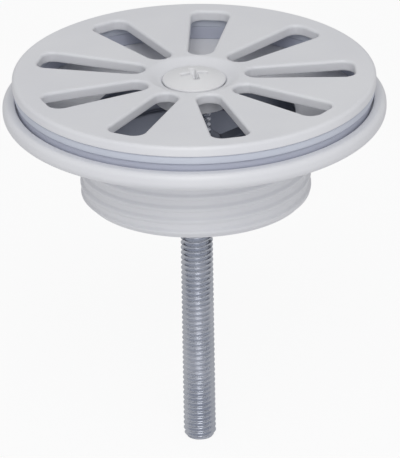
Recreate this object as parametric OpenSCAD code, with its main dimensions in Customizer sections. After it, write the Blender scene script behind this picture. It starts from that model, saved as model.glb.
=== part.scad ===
// Free-flow basin waste: a slotted grid above the basin and a threaded outlet body below it,
// drawn together by one long screw. The waste is shown closed, with no basin between its seals.
// Z = 0 is the plane in which the upper seal meets the basin, and the axis of the waste is Z.

/* [Grid disc] */
// Diameter of the grid disc
grid_d = 66; // [60:1:74]
// Thickness of the grid disc
grid_t = 2; // [1.8:0.1:2.6]
// Rounding of the rim's top edge
grid_top_r = 0.6; // [0.2:0.1:0.9]
// Rounding of the rim's bottom edge
grid_under_r = 0.3; // [0.1:0.1:0.6]
// Width of the plain land between the slots and the rim
rim_land = 3.8; // [3.2:0.1:6]
// Width of the soft dish around the screw head
dish_w = 2.6; // [2:0.1:3.4]
// Depth of the dish at the screw head
dish_depth = 1.05; // [0.6:0.05:1.2]
// Depth of the hub below the disc
hub_h = 2.9; // [2.7:0.1:4]

/* [Slots] */
// Number of slots
slot_count = 9; // [6:1:9]
// Flat land between the dish and the inner ends of the slots
slot_land = 0.7; // [0.5:0.1:1.5]
// Width of a slot at its inner end
slot_inner_w = 4.6; // [3.6:0.1:4.8]
// Width of a slot at its outer end
slot_outer_w = 7; // [5:0.1:8]
// Radius of the outer corners of a slot
slot_corner_r = 2.1; // [1:0.1:2.4]

/* [Seals] */
// Thickness of the upper seal
upper_seal_t = 1.6; // [1:0.1:3]
// Thickness of the lower seal
lower_seal_t = 2.4; // [1.8:0.1:3.5]
// Step from the rim of the disc in to the edge of the upper seal
upper_seal_step = 0.3; // [0.1:0.1:0.8]
// Step from the rim of the disc in to the edge of the lower seal
lower_seal_step = 0.8; // [0.4:0.1:1.4]
// Step from the slots out to the inner edge of both seals
seal_inner_step = 1; // [0.4:0.1:1.2]

/* [Body flange] */
// How far the flange stands out past the grid disc
flange_step = 1.8; // [1:0.1:4]
// Thickness of the flange from its lip to its underside
flange_t = 3.5; // [3:0.1:6]
// Depth of the recess that holds the lower seal
recess_depth = 1.2; // [0.6:0.1:1.5]
// Clearance between the lower seal and the lip of the flange
recess_clearance = 0.3; // [0.1:0.1:0.5]
// Rounding of the flange's top edge
flange_top_r = 1.1; // [0.4:0.1:1.3]
// Rounding of the flange's bottom edge
flange_under_r = 1.9; // [0.8:0.1:2.1]
// Fall of the funnel floor from the seal to the bore
funnel_fall = 0.8; // [0.3:0.1:1]

/* [Outlet] */
// Outside diameter of the outlet thread, 41.91 for G 1 1/4
thread_d = 41.91; // [38:0.01:48]
// Length of the outlet below the flange
outlet_len = 15.3; // [12:0.1:30]
// Wall of the outlet above the spider
outlet_wall = 2.95; // [2.4:0.05:4]
// Chamfer at the end of the outlet thread
thread_chamfer = 1.25; // [0.4:0.05:1.5]
// Width of the rounded mouth of the bore
mouth_r = 1.6; // [0.5:0.1:2]
// Width of the ledge around the bore at the top of the spider
ledge_w = 0.8; // [0.2:0.1:1.5]

/* [Spider] */
// Number of arms
arm_count = 3; // [2:1:5]
// Direction of the first arm, in degrees
arm_angle = 50; // [0:1:120]
// Width of an arm at its top
arm_w = 3.2; // [2:0.1:5]
// Width of an arm at its bottom edge
arm_edge_w = 1.6; // [1:0.1:2]
// Height of an arm
arm_h = 5.3; // [3:0.1:7]
// Step from the ledge down to the top of an arm
arm_sink = 0.3; // [0.2:0.1:1]
// Depth of the ledge below the underside of the flange
ledge_drop = 6; // [2:0.1:6.2]
// Diameter of the tapped boss
boss_d = 10; // [8:0.1:13]
// How far the boss stands above the arms
boss_rise = 2; // [0.5:0.1:3]
// How far the boss reaches below the arms
boss_drop = 0.6; // [0:0.1:2]

/* [Clamp screw] */
// Thread diameter of the screw over its crests
screw_d = 5.9; // [4.8:0.1:6.4]
// Length of the screw below its head rim
screw_len = 70.5; // [40:0.5:90]
// Diameter of the screw head
head_d = 11.5; // [10:0.1:13]
// Height of the straight rim of the head
head_rim = 0.45; // [0.2:0.05:0.8]
// Height of the dome above the rim
head_dome = 1.2; // [0.6:0.1:2]
// Chamfer at the tip of the screw
tip_chamfer = 0.6; // [0.2:0.1:1]
// Diametral clearance of the screw in the tapped boss
boss_clearance = 0.1; // [0.06:0.02:0.3]
// Diametral clearance of the screw in the grid disc
hole_clearance = 0.7; // [0.3:0.1:1]
// Gap between the rim of the head and the dish
head_gap = 0.25; // [0.1:0.05:0.5]
// Width across the cross recess
cross_w = 5.4; // [4:0.1:6]
// Width of one wing of the cross recess
wing_w = 1.2; // [0.8:0.1:1.5]
// Depth of the cross recess
cross_depth = 2.9; // [1.5:0.1:3.2]
// Turn of the cross recess, in degrees
cross_angle = 15; // [0:1:90]

/* [Hidden] */
$fn = 128;
// Overlap of a cutting shape past the face that it opens
past = 1;

// Grid disc, radii from the axis and heights from the seal plane
grid_r = grid_d / 2;
grid_under_z = upper_seal_t;
grid_top_z = grid_under_z + grid_t;
seat_r = head_d / 2 + head_gap;
dish_r = seat_r + dish_w;
dish_z = grid_top_z - dish_depth;
hub_z = grid_under_z - hub_h;
hub_r = dish_r - dish_depth;
hub_low_r = seat_r + head_gap + 1;
hole_r = (screw_d + hole_clearance) / 2;

// Slots
slot_inner_r = dish_r + slot_land;
slot_outer_r = grid_r - rim_land;
slot_inner_x = slot_inner_r + slot_inner_w / 2;
slot_corner_x = slot_outer_r - slot_corner_r;
slot_corner_y = slot_outer_w / 2 - slot_corner_r;
slot_first_angle = 90;

// Seals
seal_inner_r = slot_outer_r + seal_inner_step;
upper_seal_r = grid_r - upper_seal_step;
lower_seal_r = grid_r - lower_seal_step;
seal_edge_r = 0.25;

// Body, downwards
recess_z = -lower_seal_t;
lip_z = recess_z + recess_depth;
flange_under_z = lip_z - flange_t;
flange_r = grid_r + flange_step;
recess_r = lower_seal_r + recess_clearance;
funnel_r = seal_inner_r - recess_clearance;
thread_r = thread_d / 2;
bore_r = thread_r - outlet_wall;
outlet_r = bore_r - ledge_w;
funnel_low_z = recess_z - funnel_fall;
mouth_z = funnel_low_z - mouth_r;
ledge_z = flange_under_z - ledge_drop;
outlet_end_z = flange_under_z - outlet_len;
arm_top_z = ledge_z - arm_sink;
arm_low_z = arm_top_z - arm_h;
boss_r = boss_d / 2;
boss_top_z = arm_top_z + boss_rise;
boss_low_z = arm_low_z - boss_drop;
tapped_r = (screw_d + boss_clearance) / 2;

// Clamp screw: its 90 degree cone lies on the countersink of the disc
screw_r = screw_d / 2;
head_r = head_d / 2;
rim_low_z = dish_z - head_gap;
rim_top_z = rim_low_z + head_rim;
dome_r = (head_r * head_r + head_dome * head_dome) / (2 * head_dome);
dome_centre_z = rim_top_z + head_dome - dome_r;
cone_low_z = rim_low_z - (head_r - screw_r);
tip_z = rim_low_z - screw_len;

// Section of a flat ring whose outer corners are rounded
module ring_section(r_in, r_out, z_low, z_high, low_round, top_round) {
    difference() {
        translate([r_in, z_low]) square([r_out - r_in, z_high - z_low]);
        translate([r_out - top_round, z_high - top_round]) square(top_round + past);
        translate([r_out - low_round, z_low - past]) square(low_round + past);
    }
    translate([r_out - top_round, z_high - top_round])
        intersection() {
            circle(top_round);
            square(top_round);
        }
    translate([r_out - low_round, z_low + low_round])
        intersection() {
            circle(low_round);
            translate([0, -low_round]) square(low_round);
        }
}

// Direction, from the centre line of a slot, of the normal of its upper side
side_angle = atan2(slot_corner_y, slot_corner_x - slot_inner_x)
    + acos((slot_inner_w / 2 - slot_corner_r) / norm([slot_corner_x - slot_inner_x, slot_corner_y]));
side_normal = [cos(side_angle), sin(side_angle)];
inner_tangent = [slot_inner_x, 0] + slot_inner_w / 2 * side_normal;
corner_tangent = [slot_corner_x, slot_corner_y] + slot_corner_r * side_normal;

// Straight-sided middle of a slot, between the tangent points of its rounded ends
module slot_middle() {
    polygon([
        [slot_inner_x, 0],
        inner_tangent,
        corner_tangent,
        [slot_corner_x, slot_corner_y],
        [slot_outer_r, slot_corner_y],
        [slot_outer_r, -slot_corner_y],
        [slot_corner_x, -slot_corner_y],
        [corner_tangent.x, -corner_tangent.y],
        [inner_tangent.x, -inner_tangent.y],
    ]);
}

module slot_outline() {
    slot_middle();
    translate([slot_inner_x, 0]) circle(slot_inner_w / 2);
    for (side = [-1, 1]) translate([slot_corner_x, side * slot_corner_y]) circle(slot_corner_r);
}

// Section of the dish, the countersink and the hole for the screw
module seat_section() {
    polygon([
        [0, grid_top_z + past],
        [dish_r, grid_top_z + past],
        [dish_r, grid_top_z],
        [seat_r, dish_z],
        [hole_r, dish_z - (seat_r - hole_r)],
        [hole_r, hub_z - past],
        [0, hub_z - past],
    ]);
}

// Flat disc with its slots
module slotted_disc() {
    difference() {
        rotate_extrude() ring_section(0, grid_r, grid_under_z, grid_top_z, grid_under_r, grid_top_r);
        for (i = [0:slot_count - 1])
            rotate([0, 0, slot_first_angle + i * 360 / slot_count])
                translate([0, 0, grid_under_z - past])
                    linear_extrude(grid_t + 2 * past) slot_outline();
    }
}

// Slotted disc with a dished centre, a countersunk hole and a hub below
module grid_disc() {
    color("white")
    difference() {
        union() {
            slotted_disc();
            translate([0, 0, hub_z]) cylinder(h = hub_h, r1 = hub_low_r, r2 = hub_r);
        }
        rotate_extrude() seat_section();
    }
}

// Flat ring between the grid disc and the basin
module upper_seal() {
    color("lightsteelblue")
    rotate_extrude() ring_section(seal_inner_r, upper_seal_r, 0, grid_under_z, seal_edge_r, seal_edge_r);
}

// Ring in the recess of the flange, below the basin
module lower_seal() {
    color("slategray")
    rotate_extrude() ring_section(seal_inner_r, lower_seal_r, recess_z, 0, seal_edge_r, seal_edge_r);
}

// Section of the body's hollow, from the seal recess down to the outlet
module hollow_section() {
    translate([0, recess_z]) square([recess_r, recess_depth + past]);
    polygon([
        [0, recess_z + past],
        [funnel_r, recess_z + past],
        [funnel_r, recess_z],
        [bore_r + mouth_r, funnel_low_z],
        [bore_r + mouth_r, mouth_z],
        [0, mouth_z],
    ]);
    translate([0, ledge_z]) square([bore_r, mouth_z - ledge_z]);
    translate([0, outlet_end_z - past]) square([outlet_r, ledge_z - outlet_end_z + past]);
}

// Rounded shoulder between the funnel floor and the bore
module mouth_section() {
    intersection() {
        translate([bore_r + mouth_r, mouth_z]) circle(mouth_r);
        translate([bore_r, mouth_z]) square(mouth_r);
    }
}

// One spider arm, wide at its top and narrow at its bottom edge
module arm() {
    translate([boss_r / 2, 0, 0]) rotate([90, 0, 90])
        linear_extrude(outlet_r + outlet_wall / 2 - boss_r / 2)
            polygon([
                [-arm_w / 2, arm_top_z],
                [arm_w / 2, arm_top_z],
                [arm_edge_w / 2, arm_low_z],
                [-arm_edge_w / 2, arm_low_z],
            ]);
}

// Outlet body: flange, funnel, threaded outlet and spider with its tapped boss
module body() {
    color("whitesmoke")
    difference() {
        union() {
            difference() {
                union() {
                    rotate_extrude()
                        ring_section(0, flange_r, flange_under_z, lip_z, flange_under_r, flange_top_r);
                    translate([0, 0, outlet_end_z + thread_chamfer])
                        cylinder(h = outlet_len - thread_chamfer, r = thread_r);
                    translate([0, 0, outlet_end_z])
                        cylinder(h = thread_chamfer, r1 = thread_r - thread_chamfer, r2 = thread_r);
                }
                rotate_extrude() hollow_section();
            }
            rotate_extrude() mouth_section();
            for (i = [0:arm_count - 1]) rotate([0, 0, arm_angle + i * 360 / arm_count]) arm();
            translate([0, 0, boss_low_z]) cylinder(h = boss_top_z - boss_low_z, r = boss_r);
        }
        translate([0, 0, boss_low_z - past])
            cylinder(h = boss_top_z - boss_low_z + 2 * past, r = tapped_r);
    }
}

// Cross recess of the screw head: two crossed slots that narrow with depth
module cross_recess() {
    top = rim_top_z + head_dome;
    intersection() {
        translate([0, 0, top - cross_depth]) cylinder(h = cross_depth, r1 = wing_w / 2, r2 = cross_w / 2);
        for (turn = [0, 90])
            rotate([0, 0, cross_angle + turn])
                translate([-cross_w / 2, -wing_w / 2, top - cross_depth])
                    cube([cross_w, wing_w, cross_depth]);
    }
}

// Machine screw with a raised countersunk head
module clamp_screw() {
    color("silver")
    difference() {
        union() {
            intersection() {
                translate([0, 0, dome_centre_z]) sphere(dome_r);
                translate([0, 0, rim_low_z]) cylinder(h = head_rim + head_dome + past, r = head_r);
            }
            translate([0, 0, cone_low_z]) cylinder(h = head_r - screw_r, r1 = screw_r, r2 = head_r);
            translate([0, 0, tip_z + tip_chamfer])
                cylinder(h = cone_low_z - tip_z - tip_chamfer, r = screw_r);
            translate([0, 0, tip_z]) cylinder(h = tip_chamfer, r1 = screw_r - tip_chamfer, r2 = screw_r);
        }
        cross_recess();
    }
}

grid_disc();
upper_seal();
lower_seal();
body();
clamp_screw();
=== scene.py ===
import math

import bpy
import numpy as np
from mathutils import Matrix, Vector


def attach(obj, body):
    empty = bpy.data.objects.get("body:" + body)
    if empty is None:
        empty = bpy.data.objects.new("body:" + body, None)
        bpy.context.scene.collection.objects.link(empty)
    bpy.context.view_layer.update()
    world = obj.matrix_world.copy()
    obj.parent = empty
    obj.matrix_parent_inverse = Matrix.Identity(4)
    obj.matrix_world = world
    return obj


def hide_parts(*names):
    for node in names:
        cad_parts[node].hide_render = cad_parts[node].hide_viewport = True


# Free-flow basin waste: the detailed pieces that stand for the CAD nodes, their materials,
# the light and the camera. Lengths below are millimetres unless a name says otherwise,
# and every mesh is written in metres in the frame of the CAD.

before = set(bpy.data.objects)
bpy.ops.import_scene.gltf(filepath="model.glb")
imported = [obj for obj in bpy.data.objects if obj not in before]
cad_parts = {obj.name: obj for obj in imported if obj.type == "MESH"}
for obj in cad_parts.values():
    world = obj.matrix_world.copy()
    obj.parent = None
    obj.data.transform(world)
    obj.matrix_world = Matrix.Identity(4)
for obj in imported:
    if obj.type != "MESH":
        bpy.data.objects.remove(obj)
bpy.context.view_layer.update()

MM = 0.001
TAU = 2.0 * math.pi

# Sizes from the CAD
SLOT_COUNT = 9
SLOT_FIRST = 90.0
GRID_R = 33.0
GRID_TOP = 3.6
GRID_UNDER = 1.6
DISH_R = 8.6
SEAT_R = 6.0
DISH_Z = 2.55
HOLE_R = 3.3
HUB_Z = -1.3
HUB_R = 7.55
HUB_LOW_R = 7.25
SLOT_IN_X, SLOT_IN_R = 11.6, 2.3
SLOT_CORNER_X, SLOT_CORNER_Y, SLOT_CORNER_R = 27.1, 1.4, 2.1

SEAL_IN_R = 30.2
UPPER_SEAL_R = 32.7
LOWER_SEAL_R = 32.2
RECESS_Z = -2.4

LIP_Z = -1.2
FLANGE_R = 34.8
FLANGE_UNDER = -4.7
RECESS_R = 32.5
FUNNEL_R = 29.9
FUNNEL_LOW_Z = -3.2
MOUTH_R = 1.6
BORE_R = 18.005
OUTLET_R = 17.205
LEDGE_Z = -10.7
THREAD_R = 20.955
OUTLET_END = -20.0
ARM_TOP, ARM_LOW = -11.0, -16.3
ARM_ANGLE = 50.0
BOSS_R, BOSS_TOP, BOSS_LOW, TAPPED_R = 5.0, -9.0, -16.9, 3.0

SCREW_R = 2.95
HEAD_R = 5.75
RIM_LOW, RIM_TOP = 2.3, 2.75
HEAD_TOP = 3.95
CONE_LOW = -0.5
TIP_Z = -68.2


# Mesh helpers
def finish_mesh(name, verts, faces, face_slots=None):
    """Object from points in mm, with optional material slot numbers for its faces, linked into the scene.
    """
    mesh = bpy.data.meshes.new(name)
    mesh.from_pydata((np.asarray(verts, dtype=float) * MM).tolist(), [], faces)
    mesh.update()
    if face_slots is not None:
        mesh.polygons.foreach_set("material_index", face_slots)
    obj = bpy.data.objects.new(name, mesh)
    bpy.context.scene.collection.objects.link(obj)
    return obj


def weigh_normals(obj):
    """Smooth shading with normals weighted by the area of the faces around each point."""
    mesh = obj.data
    mesh.calc_loop_triangles()
    count = len(mesh.vertices)
    co = np.empty(count * 3)
    mesh.vertices.foreach_get("co", co)
    co = co.reshape(-1, 3)
    tri = np.empty(len(mesh.loop_triangles) * 3, dtype=np.int32)
    mesh.loop_triangles.foreach_get("vertices", tri)
    tri = tri.reshape(-1, 3)
    cross = np.cross(co[tri[:, 1]] - co[tri[:, 0]], co[tri[:, 2]] - co[tri[:, 0]])
    normals = np.zeros((count, 3))
    for corner in range(3):
        np.add.at(normals, tri[:, corner], cross)
    length = np.linalg.norm(normals, axis=1)
    length[length == 0] = 1.0
    mesh.shade_smooth()
    mesh.normals_split_custom_set_from_vertices((normals / length[:, None]).tolist())


def arc(cx, cz, r, start, end, steps):
    """Points of an arc in a section, both ends included, angles in degrees."""
    angles = np.radians(np.linspace(start, end, steps + 1))
    return [(cx + r * math.cos(a), cz + r * math.sin(a)) for a in angles]


def line(p, q, steps):
    """Points of a straight run without its ends."""
    return [(p[0] + (q[0] - p[0]) * k / steps, p[1] + (q[1] - p[1]) * k / steps)
            for k in range(1, steps)]


def revolve_loop(profile, columns, radius_change=None):
    """Points and faces of a closed section turned around Z."""
    section = np.asarray(profile, dtype=float)
    angles = np.arange(columns) * TAU / columns
    r = np.repeat(section[:, 0:1], columns, axis=1)
    z = np.repeat(section[:, 1:2], columns, axis=1)
    if radius_change is not None:
        r = r + radius_change(r, z, angles[None, :])
    verts = np.stack([r * np.cos(angles), r * np.sin(angles), z], axis=-1).reshape(-1, 3)
    rows = len(section)
    faces = []
    for i in range(rows):
        a = i * columns
        b = ((i + 1) % rows) * columns
        for j in range(columns):
            k = (j + 1) % columns
            faces.append((a + j, a + k, b + k, b + j))
    return verts, faces


def join_grid(faces, low, high, flip=False):
    """Quads between two closed rows of point numbers."""
    count = len(low)
    for j in range(count):
        k = (j + 1) % count
        quad = (low[j], low[k], high[k], high[j])
        faces.append(quad[::-1] if flip else quad)


def smooth(t):
    t = np.clip(t, 0.0, 1.0)
    return t * t * (3.0 - 2.0 * t)


def apply_boolean(obj, other, operation):
    """Joins or cuts obj with other, for good, and removes other."""
    modifier = obj.modifiers.new("shape", "BOOLEAN")
    modifier.operation = operation
    modifier.solver = "EXACT"
    modifier.object = other
    depsgraph = bpy.context.evaluated_depsgraph_get()
    mesh = bpy.data.meshes.new_from_object(obj.evaluated_get(depsgraph))
    obj.modifiers.clear()
    obj.data = mesh
    bpy.data.objects.remove(other, do_unlink=True)


# Grid disc
EDGE = 0.55
LOW_EDGE = 0.25
RIM_TOP_R = 0.7
RIM_LOW_R = 0.3
HUB_FILLET = 0.4
ARC_STEPS = 10


def slot_half():
    """Upper half of a slot's outline as (centre x, centre y, radius, direction) rows,
    from the axis at its inner end to the axis at its outer end."""
    dx, dy = SLOT_CORNER_X - SLOT_IN_X, SLOT_CORNER_Y
    side = math.degrees(math.atan2(dy, dx)
                        + math.acos((SLOT_IN_R - SLOT_CORNER_R) / math.hypot(dx, dy)))
    rows = []
    for a in np.linspace(180, 124, ARC_STEPS + 1):
        rows.append((SLOT_IN_X, 0.0, SLOT_IN_R, a))
    for a in np.linspace(124, side, 5)[1:]:
        rows.append((SLOT_IN_X, 0.0, SLOT_IN_R, a))
    for t in np.linspace(0, 1, 15)[1:]:
        rows.append((SLOT_IN_X + dx * t, dy * t, SLOT_IN_R + (SLOT_CORNER_R - SLOT_IN_R) * t, side))
    for a in np.linspace(side, 45, 8)[1:]:
        rows.append((SLOT_CORNER_X, SLOT_CORNER_Y, SLOT_CORNER_R, a))
    rows_side = len(rows) - 1 - ARC_STEPS
    for a in np.linspace(45, 0, 7)[1:]:
        rows.append((SLOT_CORNER_X, SLOT_CORNER_Y, SLOT_CORNER_R, a))
    for t in np.linspace(1, 0, 5)[1:]:
        rows.append((SLOT_CORNER_X, SLOT_CORNER_Y * t, SLOT_CORNER_R, 0.0))
    return rows, rows_side


HALF, SIDE_STEPS = slot_half()


def slot_loop(grow):
    """Closed outline of a slot, grown by so many mm, with its axis along X."""
    half = [(x + (r + grow) * math.cos(math.radians(a)), y + (r + grow) * math.sin(math.radians(a)))
            for x, y, r, a in HALF]
    other = [(x, -y) for x, y in half[-2:0:-1]]
    return np.array(half + other)


def sector_loop(r_in, r_out, outline):
    """Outline of the sector that holds a slot, with one point for each point of the slot."""
    half_angle = math.pi / SLOT_COUNT
    count = len(HALF)
    radius = np.hypot(outline[:count, 0], outline[:count, 1])
    first, last = ARC_STEPS, ARC_STEPS + SIDE_STEPS
    half = []
    for k in range(count):
        if k <= first:
            a = half_angle * k / first
            half.append((r_in * math.cos(a), r_in * math.sin(a)))
        elif k < last:
            t = (radius[k] - radius[first]) / (radius[last] - radius[first])
            r = r_in + (r_out - r_in) * t
            half.append((r * math.cos(half_angle), r * math.sin(half_angle)))
        else:
            a = half_angle * (count - 1 - k) / (count - 1 - last)
            half.append((r_out * math.cos(a), r_out * math.sin(a)))
    other = [(x, -y) for x, y in half[-2:0:-1]]
    return np.array(half + other)


class Builder:
    """Collects points and faces, and gives equal points one number."""

    def __init__(self):
        self.verts = []
        self.faces = []
        self.known = {}

    def point(self, x, y, z):
        key = (round(x, 4), round(y, 4), round(z, 4))
        if key not in self.known:
            self.known[key] = len(self.verts)
            self.verts.append((x, y, z))
        return self.known[key]

    def ring(self, points):
        return [self.point(*p) for p in points]


def build_grid_disc():
    b = Builder()
    top_blend = (0.0, 0.14, 0.4, 0.7, 1.0)
    # Levels of one slot from the flat underside up to the flat top: growth and height
    wall = [(LOW_EDGE - LOW_EDGE * math.sin(a), GRID_UNDER + LOW_EDGE - LOW_EDGE * math.cos(a))
            for a in np.linspace(0, math.pi / 2, 4)]
    wall += [(0.0, z) for z in np.linspace(GRID_UNDER + LOW_EDGE, GRID_TOP - EDGE, 5)[1:]]
    wall += [(EDGE * (1 - math.cos(a)), GRID_TOP - EDGE + EDGE * math.sin(a))
             for a in np.linspace(0, math.pi / 2, 8)[1:]]
    loops = [slot_loop(grow) for grow, _ in wall]
    top_sector = sector_loop(DISH_R, GRID_R - RIM_TOP_R, loops[-1])
    low_sector = sector_loop(HUB_R + HUB_FILLET, GRID_R - RIM_LOW_R, loops[0])
    for i in range(SLOT_COUNT):
        turn = math.radians(SLOT_FIRST + i * 360.0 / SLOT_COUNT)
        c, s = math.cos(turn), math.sin(turn)

        def place(points, z):
            return b.ring([(x * c - y * s, x * s + y * c, z) for x, y in points])

        rows = []
        for t in top_blend[:0:-1]:
            rows.append(place(loops[0] + (low_sector - loops[0]) * t, GRID_UNDER))
        for loop, (_, z) in zip(loops, wall):
            rows.append(place(loop, z))
        for t in top_blend[1:]:
            rows.append(place(loops[-1] + (top_sector - loops[-1]) * t, GRID_TOP))
        for low, high in zip(rows, rows[1:]):
            join_grid(b.faces, low, high)

    columns = SLOT_COUNT * 2 * ARC_STEPS
    first = math.radians(SLOT_FIRST)
    angles = [first + k * TAU / columns for k in range(columns)]

    def ring(r, z):
        return b.ring([(r * math.cos(a), r * math.sin(a), z) for a in angles])

    # Rim, from the top down
    rim = arc(GRID_R - RIM_TOP_R, GRID_TOP - RIM_TOP_R, RIM_TOP_R, 90, 0, 8)
    rim += line(rim[-1], (GRID_R, GRID_UNDER + RIM_LOW_R), 2)
    rim += arc(GRID_R - RIM_LOW_R, GRID_UNDER + RIM_LOW_R, RIM_LOW_R, 0, -90, 4)
    rows = [ring(r, z) for r, z in rim]
    for low, high in zip(rows, rows[1:]):
        join_grid(b.faces, low, high, True)

    # Dish, countersink, hole and hub, from the top down and out to the underside
    dish = []
    for t in np.linspace(0, 1, 17):
        fall = 0.75 * smooth(t) + 0.25 * t
        dish.append((DISH_R + (SEAT_R + 0.12 - DISH_R) * t, GRID_TOP + (DISH_Z - GRID_TOP) * fall))
    seat = arc(SEAT_R + 0.12, DISH_Z - 0.12, 0.12, 90, 135, 2)[1:]
    bore = [(HOLE_R + 0.1, DISH_Z - (SEAT_R - HOLE_R) - 0.05), (HOLE_R, DISH_Z - (SEAT_R - HOLE_R) - 0.2)]
    bore += [(HOLE_R, HUB_Z + 0.3), (HOLE_R + 0.1, HUB_Z + 0.1), (HOLE_R + 0.3, HUB_Z)]
    hub = [(HUB_LOW_R - 0.4, HUB_Z)] + arc(HUB_LOW_R - 0.3, HUB_Z + 0.3, 0.3, -80, 0, 4)
    hub += line(hub[-1], (HUB_R, GRID_UNDER - HUB_FILLET), 3)
    hub += arc(HUB_R + HUB_FILLET, GRID_UNDER - HUB_FILLET, HUB_FILLET, 180, 90, 5)
    rows = [ring(r, z) for r, z in dish + seat + bore + hub]
    for low, high in zip(rows, rows[1:]):
        join_grid(b.faces, low, high)
    return finish_mesh("grid_disc_coated", b.verts, b.faces)


# Seals
def build_seal(name, r_in, r_out, z_low, z_high, round_r, crown):
    """Flat ring with soft corners and a slightly crowned outer edge."""
    section = [(r_in + 0.15, z_high), (r_in + 0.04, z_high - 0.04), (r_in, z_high - 0.15)]
    section += [(r_in, z_low + 0.15), (r_in + 0.04, z_low + 0.04), (r_in + 0.15, z_low)]
    section += line(section[-1], (r_out - round_r - crown, z_low), 3)
    edge = r_out - crown
    outer = arc(edge - round_r, z_low + round_r, round_r, -90, 0, 5)
    for z in np.linspace(z_low + round_r, z_high - round_r, 8)[1:-1]:
        outer.append((edge, z))
    outer += arc(edge - round_r, z_high - round_r, round_r, 0, 90, 5)
    middle, half = (z_low + z_high) / 2, (z_high - z_low) / 2
    outer = [(r + crown * (1 - ((z - middle) / half) ** 2), z) for r, z in outer]
    section += outer
    section += line(section[-1], (r_in + 0.15, z_high), 3)
    verts, faces = revolve_loop(section, 192)
    return finish_mesh(name, verts, faces)


# Body
THREAD_PITCH = 2.309
THREAD_DEPTH = 0.42
BODY_COLUMNS = 256


def body_section():
    """Closed section of the flange, funnel, bore and outlet, with the row range of the thread."""
    s = [(FUNNEL_R, RECESS_Z)]
    s += [(FUNNEL_R + 0.3, RECESS_Z)]
    s += line(s[-1], (RECESS_R - 0.25, RECESS_Z), 3)
    s += arc(RECESS_R - 0.25, RECESS_Z + 0.25, 0.25, -90, 0, 4)
    s += arc(RECESS_R + 0.3, LIP_Z - 0.3, 0.3, 180, 90, 5)
    s += arc(FLANGE_R - 1.1, LIP_Z - 1.1, 1.1, 90, 0, 10)
    s += line(s[-1], (FLANGE_R, FLANGE_UNDER + 1.9), 2)
    s += arc(FLANGE_R - 1.9, FLANGE_UNDER + 1.9, 1.9, 0, -90, 14)
    s += line(s[-1], (THREAD_R + 0.6, FLANGE_UNDER), 8)
    s += arc(THREAD_R + 0.6, FLANGE_UNDER - 0.6, 0.6, 90, 180, 5)
    start = len(s) - 1
    z_top, z_low = s[-1][1], OUTLET_END + 1.35
    steps = int(round((z_top - z_low) / 0.11))
    s += line(s[-1], (THREAD_R, z_low), steps)
    s += [(THREAD_R, z_low), (THREAD_R - 0.08, z_low - 0.22)]
    end = len(s) - 1
    s += line(s[-1], (THREAD_R - 1.1, OUTLET_END + 0.2), 8)
    s += arc(THREAD_R - 1.35, OUTLET_END + 0.3, 0.3, -45, -90, 3)
    s += line(s[-1], (OUTLET_R + 0.35, OUTLET_END), 3)
    s += arc(OUTLET_R + 0.35, OUTLET_END + 0.35, 0.35, -90, -180, 4)
    s += line(s[-1], (OUTLET_R, LEDGE_Z - 0.2), 12)
    s += arc(OUTLET_R + 0.2, LEDGE_Z - 0.2, 0.2, 180, 90, 4)
    s += [(BORE_R - 0.15, LEDGE_Z), (BORE_R - 0.04, LEDGE_Z + 0.04), (BORE_R, LEDGE_Z + 0.15)]
    s += line(s[-1], (BORE_R, FUNNEL_LOW_Z - MOUTH_R), 8)
    s += arc(BORE_R + MOUTH_R, FUNNEL_LOW_Z - MOUTH_R, MOUTH_R, 180, 90, 10)
    s += line(s[-1], (FUNNEL_R, RECESS_Z), 10)
    return s, start, end


def thread_relief(r, z, angles):
    """Depth of the coated pipe thread: narrow soft crests and wide shallow roots."""
    turn = z / THREAD_PITCH - angles / TAU
    u = np.abs((turn + 0.36) % 1.0 - 0.5) * 2.0
    groove = smooth((u - 0.1) / 0.55)
    fade = smooth((z - OUTLET_END - 0.9) / 0.9) * smooth((FLANGE_UNDER - 1.0 - z) / 1.2)
    return -THREAD_DEPTH * groove * fade


def arm_solid(direction):
    """One spider arm: a rounded wedge section run from the boss into the wall."""
    corner = 0.35
    half_top, half_low = 1.6, 0.8
    top = arc(half_top - corner, ARM_TOP - corner, corner, 0, 90, 4)
    top = top + [(-x, z) for x, z in top[::-1]]
    low = arc(-half_low + corner, ARM_LOW + corner, corner, 180, 270, 4)
    low = low + [(-x, z) for x, z in low[::-1]]
    section = top + low
    count = len(section)
    stations = (4.0, 7.5, 11.0, 14.5, OUTLET_R + 1.2)
    c, s = math.cos(math.radians(direction)), math.sin(math.radians(direction))
    verts = [(r * c - y * s, r * s + y * c, z) for r in stations for y, z in section]
    faces = []
    for k in range(len(stations) - 1):
        for j in range(count):
            n = (j + 1) % count
            faces.append((k * count + j, (k + 1) * count + j, (k + 1) * count + n, k * count + n))
    faces.append(tuple(range(count)))
    last = (len(stations) - 1) * count
    faces.append(tuple(last + j for j in range(count - 1, -1, -1)))
    return finish_mesh("arm", verts, faces)


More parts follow.
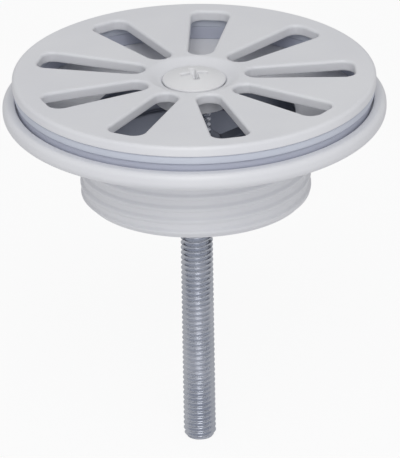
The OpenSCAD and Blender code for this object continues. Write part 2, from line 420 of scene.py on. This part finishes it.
def build_body():
    section, start, end = body_section()

    def relief(r, z, angles):
        change = thread_relief(r, z, angles)
        rows = np.zeros(r.shape[0], dtype=bool)
        rows[start:end + 1] = True
        return np.where(rows[:, None], change, 0.0)

    verts, faces = revolve_loop(section, BODY_COLUMNS, relief)
    shell = finish_mesh("outlet_body", verts, faces)
    boss = [(TAPPED_R + 0.35, BOSS_TOP), (TAPPED_R, BOSS_TOP - 0.35), (TAPPED_R, BOSS_LOW + 0.35),
            (TAPPED_R + 0.35, BOSS_LOW)]
    boss += arc(BOSS_R - 0.45, BOSS_LOW + 0.45, 0.45, -90, 0, 4)
    boss += line(boss[-1], (BOSS_R, BOSS_TOP - 0.45), 6)
    boss += arc(BOSS_R - 0.45, BOSS_TOP - 0.45, 0.45, 0, 90, 4)
    verts, faces = revolve_loop(boss, 64)
    spider = finish_mesh("spider", verts, faces)
    for i in range(3):
        apply_boolean(spider, arm_solid(ARM_ANGLE + i * 120.0), "UNION")
    apply_boolean(shell, spider, "UNION")
    inside = []
    for poly in shell.data.polygons:
        x, y, z = (v / MM for v in poly.center)
        r = math.hypot(x, y)
        inside.append(1 if r < BORE_R + 0.3 and z > OUTLET_END + 0.15 else 0)
    shell.data.materials.clear()
    shell.data.polygons.foreach_set("material_index", inside)
    return shell


# Clamp screw
SCREW_PITCH = 1.0
SCREW_COLUMNS = 48


def build_shank():
    """Threaded shank: rows follow the helix, then both ends are cut square."""
    import bmesh
    shape = ((0.00, 0.05), (0.06, 0.0), (0.12, 0.05), (0.27, 0.5), (0.42, 0.94), (0.56, 1.0),
             (0.70, 0.94), (0.85, 0.5))
    depth = 0.58
    z_first = TIP_Z - 2.0
    z_top = CONE_LOW + 0.3
    turns = int((z_top - z_first) / SCREW_PITCH) + 2
    per = len(shape)
    rows = turns * per
    verts = []
    for i in range(rows):
        u, low = shape[i % per]
        for j in range(SCREW_COLUMNS):
            a = TAU * j / SCREW_COLUMNS
            z = z_first + (i // per + u + j / SCREW_COLUMNS) * SCREW_PITCH
            fade = smooth((CONE_LOW - 0.6 - z) / 0.8)
            r = SCREW_R - depth * low * float(fade)
            limit = SCREW_R - 0.62 + 0.75 * max(z - TIP_Z, -0.3)
            r = min(r, limit)
            verts.append((r * math.cos(a), r * math.sin(a), z))
    faces = []
    for i in range(rows - 1):
        for j in range(SCREW_COLUMNS):
            a, b = i * SCREW_COLUMNS + j, (i + 1) * SCREW_COLUMNS + j
            if j < SCREW_COLUMNS - 1:
                faces.append((a, a + 1, b + 1, b))
            elif i + 1 + per < rows:
                faces.append((a, (i + per) * SCREW_COLUMNS, (i + 1 + per) * SCREW_COLUMNS, b))
    obj = finish_mesh("clamp_screw_steel", verts, faces)
    bm = bmesh.new()
    bm.from_mesh(obj.data)
    for z, up in ((TIP_Z, -1.0), (z_top, 1.0)):
        geom = bm.verts[:] + bm.edges[:] + bm.faces[:]
        bmesh.ops.bisect_plane(bm, geom=geom, plane_co=(0, 0, z * MM), plane_no=(0, 0, up),
                               clear_outer=True, dist=1e-7)
        edges = [e for e in bm.edges
                 if e.is_boundary and all(abs(v.co.z / MM - z) < 1e-3 for v in e.verts)]
        centre = bm.verts.new((0, 0, z * MM))
        for e in edges:
            bm.faces.new((e.verts[0], e.verts[1], centre))
    bmesh.ops.recalc_face_normals(bm, faces=bm.faces[:])
    bm.to_mesh(obj.data)
    bm.free()
    return obj


def star(angles, reach, width):
    """Radius of a cross recess outline in each direction, with soft inner corners and tips."""
    c, s = np.abs(np.cos(angles)) + 1e-9, np.abs(np.sin(angles)) + 1e-9
    soft = 8.0

    def wing(along, across):
        side = (width / 2) / across
        tip = reach / along
        return (side ** -soft + tip ** -soft) ** (-1 / soft)

    return (wing(c, s) ** soft + wing(s, c) ** soft) ** (1 / soft)


CROSS_TURN = math.radians(18.6)


def build_head():
    """Raised countersunk head with a tapering cross recess."""
    columns = 144
    angles = np.arange(columns) * TAU / columns
    rise = HEAD_TOP - RIM_TOP
    dome_r = (HEAD_R ** 2 + rise ** 2) / (2 * rise)
    centre_z = HEAD_TOP - dome_r
    verts, faces, rows = [], [], []

    def dome_z(r):
        return centre_z + np.sqrt(dome_r ** 2 - np.minimum(r, HEAD_R) ** 2)

    def add(radius, height):
        first = len(verts)
        radius = np.broadcast_to(radius, angles.shape)
        height = np.broadcast_to(height, angles.shape)
        for a, r, z in zip(angles, radius, height):
            verts.append((r * math.cos(a), r * math.sin(a), z))
        rows.append(list(range(first, first + columns)))

    local = angles - CROSS_TURN
    reach, width, depth = 2.55, 1.15, 2.3
    for t in (1.0, 0.85, 0.6, 0.35, 0.15):
        outline = star(local, reach * (1 - 0.72 * t), width * (1 - 0.3 * t))
        add(outline, dome_z(0.8) - depth * t)
    for k, grow in enumerate((0.0, 0.03, 0.1, 0.2)):
        outline = star(local, reach + grow, width + 2 * grow)
        drop = (0.2, 0.09, 0.025, 0.0)[k]
        add(outline, dome_z(outline) - drop)
    edge = star(local, reach + 0.2, width + 0.4)
    shoulder = HEAD_R - 0.35
    for t in (0.12, 0.3, 0.5, 0.7, 0.87, 1.0):
        r = edge + (shoulder - edge) * t
        add(r, dome_z(r))
    z_edge = float(dome_z(shoulder))
    for a in np.linspace(0, math.pi / 2, 7)[1:]:
        add(shoulder + 0.35 * math.sin(a), RIM_TOP - 0.12 + (z_edge - RIM_TOP + 0.12) * math.cos(a))
    add(HEAD_R, RIM_LOW + 0.1)
    add(HEAD_R - 0.08, RIM_LOW - 0.02)
    for t in (0.35, 0.7, 1.0):
        add(HEAD_R - 0.08 + (2.5 - HEAD_R + 0.08) * t, RIM_LOW - 0.02 + (CONE_LOW - RIM_LOW + 0.02) * t)
    for low, high in zip(rows, rows[1:]):
        join_grid(faces, low, high, True)
    first = rows[0]
    bottom = len(verts)
    verts.append((0.0, 0.0, float(dome_z(0.8)) - depth - 0.15))
    last = rows[-1]
    under = len(verts)
    verts.append((0.0, 0.0, CONE_LOW))
    for j in range(columns):
        k = (j + 1) % columns
        faces.append((bottom, first[k], first[j])[::-1])
        faces.append((under, last[j], last[k])[::-1])
    return finish_mesh("head", verts, faces)


def build_screw():
    shank = build_shank()
    apply_boolean(shank, build_head(), "UNION")
    white = []
    for poly in shank.data.polygons:
        x, y, z = (v / MM for v in poly.center)
        on_rim = z > RIM_LOW - 0.4 and math.hypot(x, y) > SCREW_R
        white.append(1 if on_rim or z > 1.0 else 0)
    shank.data.materials.clear()
    shank.data.polygons.foreach_set("material_index", white)
    return shank


# Materials
def new_material(name):
    mat = bpy.data.materials.new(name)
    mat.use_nodes = True
    nodes = mat.node_tree.nodes
    shader = nodes["Principled BSDF"]
    return mat, nodes, mat.node_tree.links, shader


def noise(nodes, links, coords, scale, detail, rough=0.5):
    node = nodes.new("ShaderNodeTexNoise")
    node.inputs["Scale"].default_value = scale
    node.inputs["Detail"].default_value = detail
    node.inputs["Roughness"].default_value = rough
    links.new(coords, node.inputs["Vector"])
    return node.outputs["Fac"]


def ramp(nodes, links, fac, low, high, colour_low, colour_high):
    node = nodes.new("ShaderNodeValToRGB")
    elements = node.color_ramp.elements
    elements[0].position, elements[1].position = low, high
    elements[0].color, elements[1].color = (*colour_low, 1), (*colour_high, 1)
    links.new(fac, node.inputs["Fac"])
    return node.outputs["Color"]


def spread(nodes, links, fac, low, high):
    node = nodes.new("ShaderNodeMapRange")
    node.inputs["From Min"].default_value = 0.3
    node.inputs["From Max"].default_value = 0.7
    node.inputs["To Min"].default_value = low
    node.inputs["To Max"].default_value = high
    links.new(fac, node.inputs["Value"])
    return node.outputs["Result"]


def bump(nodes, links, height, strength, distance, before=None):
    node = nodes.new("ShaderNodeBump")
    node.inputs["Strength"].default_value = strength
    node.inputs["Distance"].default_value = distance
    links.new(height, node.inputs["Height"])
    if before is not None:
        links.new(before, node.inputs["Normal"])
    return node.outputs["Normal"]


def linear(colour):
    """sRGB 0 to 255 into the linear values that a shader takes."""
    out = []
    for v in colour:
        v = v / 255.0
        out.append(v / 12.92 if v <= 0.04045 else ((v + 0.055) / 1.055) ** 2.4)
    return tuple(out)


def coat_material(name, shade_low, shade_high, rough_low, rough_high, specular, peel):
    mat, nodes, links, shader = new_material(name)
    coords = nodes.new("ShaderNodeTexCoord").outputs["Object"]
    cloud = noise(nodes, links, coords, 55.0, 3.0)
    grain = noise(nodes, links, coords, 1400.0, 2.0)
    links.new(ramp(nodes, links, cloud, 0.3, 0.7, linear(shade_low), linear(shade_high)),
              shader.inputs["Base Color"])
    links.new(spread(nodes, links, grain, rough_low, rough_high), shader.inputs["Roughness"])
    links.new(bump(nodes, links, grain, peel, 0.00006), shader.inputs["Normal"])
    shader.inputs["Specular IOR Level"].default_value = specular
    return mat


def metal_material(name, shade_low, shade_high, rough_low, rough_high, peel):
    mat, nodes, links, shader = new_material(name)
    coords = nodes.new("ShaderNodeTexCoord").outputs["Object"]
    cloud = noise(nodes, links, coords, 160.0, 4.0)
    grain = noise(nodes, links, coords, 2500.0, 2.0)
    links.new(ramp(nodes, links, cloud, 0.32, 0.68, linear(shade_low), linear(shade_high)),
              shader.inputs["Base Color"])
    links.new(spread(nodes, links, cloud, rough_low, rough_high), shader.inputs["Roughness"])
    links.new(bump(nodes, links, grain, peel, 0.00003), shader.inputs["Normal"])
    shader.inputs["Metallic"].default_value = 1.0
    return mat


WHITE_COAT = coat_material("white_coat", (222, 223, 228), (227, 228, 232), 0.34, 0.44, 0.5, 0.12)
HEAD_COAT = coat_material("head_coat", (226, 227, 230), (231, 231, 233), 0.32, 0.42, 0.5, 0.12)
UPPER_RUBBER = coat_material("upper_seal", (196, 201, 214), (203, 208, 220), 0.42, 0.55, 0.4, 0.2)
# The lower seal is the same pale blue-grey rubber as the upper seal, darkened here: painted shade for the
# shadow it sits in under the disc.
LOWER_RUBBER_SHADE_PAINTED = coat_material("lower_seal", (180, 184, 200), (188, 192, 207), 0.42, 0.55, 0.4, 0.2)
INNER_METAL = metal_material("bare_metal", (118, 122, 134), (136, 140, 152), 0.34, 0.46, 0.2)
STEEL = metal_material("plated_steel", (196, 200, 210), (212, 215, 223), 0.2, 0.32, 0.15)

# Pieces
grid_disc = build_grid_disc()
upper_seal = build_seal("upper_seal_ring", SEAL_IN_R, UPPER_SEAL_R, 0.0, GRID_UNDER, 0.3, 0.08)
lower_seal = build_seal("lower_seal_ring", SEAL_IN_R, LOWER_SEAL_R, RECESS_Z, 0.0, 0.3, 0.08)
body = build_body()
screw = build_screw()

for piece, node, slot, materials in (
        (grid_disc, "grid_disc", "white_coat", (WHITE_COAT,)),
        (upper_seal, "upper_seal", "upper_seal", (UPPER_RUBBER,)),
        (lower_seal, "lower_seal", "lower_seal", (LOWER_RUBBER_SHADE_PAINTED,)),
        (body, "body", "body_coat", (WHITE_COAT, INNER_METAL)),
        (screw, "clamp_screw", "screw_steel", (STEEL, HEAD_COAT))):
    for material in materials:
        piece.data.materials.append(material)
    weigh_normals(piece)
    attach(piece, "root")
    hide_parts(node)

# Floor and world
FLOOR_Z = TIP_Z
floor_r = 2500.0
floor_verts = [(0, 0, FLOOR_Z)]
floor_sides = 64
floor_angles = [TAU * k / floor_sides for k in range(floor_sides)]
floor_verts += [(floor_r * math.cos(a), floor_r * math.sin(a), FLOOR_Z) for a in floor_angles]
floor_faces = [(0, k + 1, (k + 1) % floor_sides + 1) for k in range(floor_sides)]
floor = finish_mesh("floor", floor_verts, floor_faces)
floor_mat, nodes, links, shader = new_material("floor_white")
shader.inputs["Base Color"].default_value = (0.86, 0.86, 0.87, 1)
shader.inputs["Roughness"].default_value = 0.9
shader.inputs["Specular IOR Level"].default_value = 0.0
glow = nodes.new("ShaderNodeEmission")
glow.inputs["Color"].default_value = (1, 1, 1, 1)
path = nodes.new("ShaderNodeLightPath")
share = nodes.new("ShaderNodeMath")
share.operation = "MULTIPLY"
share.inputs[1].default_value = 0.9
links.new(path.outputs["Is Camera Ray"], share.inputs[0])
mix = nodes.new("ShaderNodeMixShader")
links.new(share.outputs[0], mix.inputs["Fac"])
links.new(shader.outputs[0], mix.inputs[1])
links.new(glow.outputs[0], mix.inputs[2])
links.new(mix.outputs[0], nodes["Material Output"].inputs["Surface"])
floor.data.materials.append(floor_mat)

WORLD_LEVEL = 0.55
world = bpy.data.worlds.new("studio")
bpy.context.scene.world = world
world.use_nodes = True
nodes, links = world.node_tree.nodes, world.node_tree.links
background = nodes["Background"]
background.inputs["Color"].default_value = (1, 1, 1, 1)
path = nodes.new("ShaderNodeLightPath")
seen = nodes.new("ShaderNodeMath")
seen.operation = "MAXIMUM"
links.new(path.outputs["Is Camera Ray"], seen.inputs[0])
links.new(path.outputs["Is Transmission Ray"], seen.inputs[1])
level = nodes.new("ShaderNodeMapRange")
level.inputs["To Min"].default_value = WORLD_LEVEL
level.inputs["To Max"].default_value = 1.0
links.new(seen.outputs[0], level.inputs["Value"])
links.new(level.outputs["Result"], background.inputs["Strength"])


def area_light(name, azimuth, elevation, distance, size, watts, colour=(1, 1, 1)):
    """Square soft box aimed at the middle of the disc; azimuth 0 is the camera's side."""
    data = bpy.data.lights.new(name, "AREA")
    data.shape = "SQUARE"
    data.size = size
    data.energy = watts
    data.color = colour
    obj = bpy.data.objects.new(name, data)
    bpy.context.scene.collection.objects.link(obj)
    a = math.radians(azimuth) + VIEW_TURN
    e = math.radians(elevation)
    way = Vector((math.sin(a) * math.cos(e), -math.cos(a) * math.cos(e), math.sin(e)))
    target = Vector((0, 0, -0.01))
    obj.location = target + way * distance
    obj.rotation_euler = (-way).to_track_quat("-Z", "Y").to_euler()
    return obj


VIEW_TURN = math.radians(6.6)
area_light("key", 0.0, 48.0, 0.9, 0.5, 2.6)
area_light("front", 0.0, 12.0, 1.0, 0.7, 1.2)

# Camera
# No further away than this, so that a view from any side stays inside the camera's far clip
CAM_DISTANCE = 2500.0
CAM_ELEVATION = math.radians(24.02)
CAM_ROLL = math.radians(-0.946)
CAM_SIDE = 0.6245
CAM_HEIGHT = -27.08
PIXELS_PER_MM = 5.4985
right = Vector((math.cos(VIEW_TURN), math.sin(VIEW_TURN), 0))
back = Vector((math.sin(VIEW_TURN) * math.cos(CAM_ELEVATION),
               -math.cos(VIEW_TURN) * math.cos(CAM_ELEVATION), math.sin(CAM_ELEVATION)))
up = back.cross(right)
target = right * CAM_SIDE + Vector((0, 0, CAM_HEIGHT))
c, s = math.cos(CAM_ROLL), math.sin(CAM_ROLL)
cam_right = right * c + up * s
cam_up = up * c - right * s
cam_data = bpy.data.cameras.new("camera")
cam_data.sensor_width = 36.0
cam_data.sensor_fit = "HORIZONTAL"
cam_data.lens = PIXELS_PER_MM * CAM_DISTANCE / 400.0 * 36.0
cam_data.clip_end = 20.0
camera = bpy.data.objects.new("camera", cam_data)
bpy.context.scene.collection.objects.link(camera)
position = (target + back * CAM_DISTANCE) * MM
turn = Matrix((cam_right, cam_up, back)).transposed().to_4x4()
camera.matrix_world = Matrix.Translation(position) @ turn
bpy.context.scene.camera = camera
bpy.context.scene.view_settings.view_transform = "Standard"
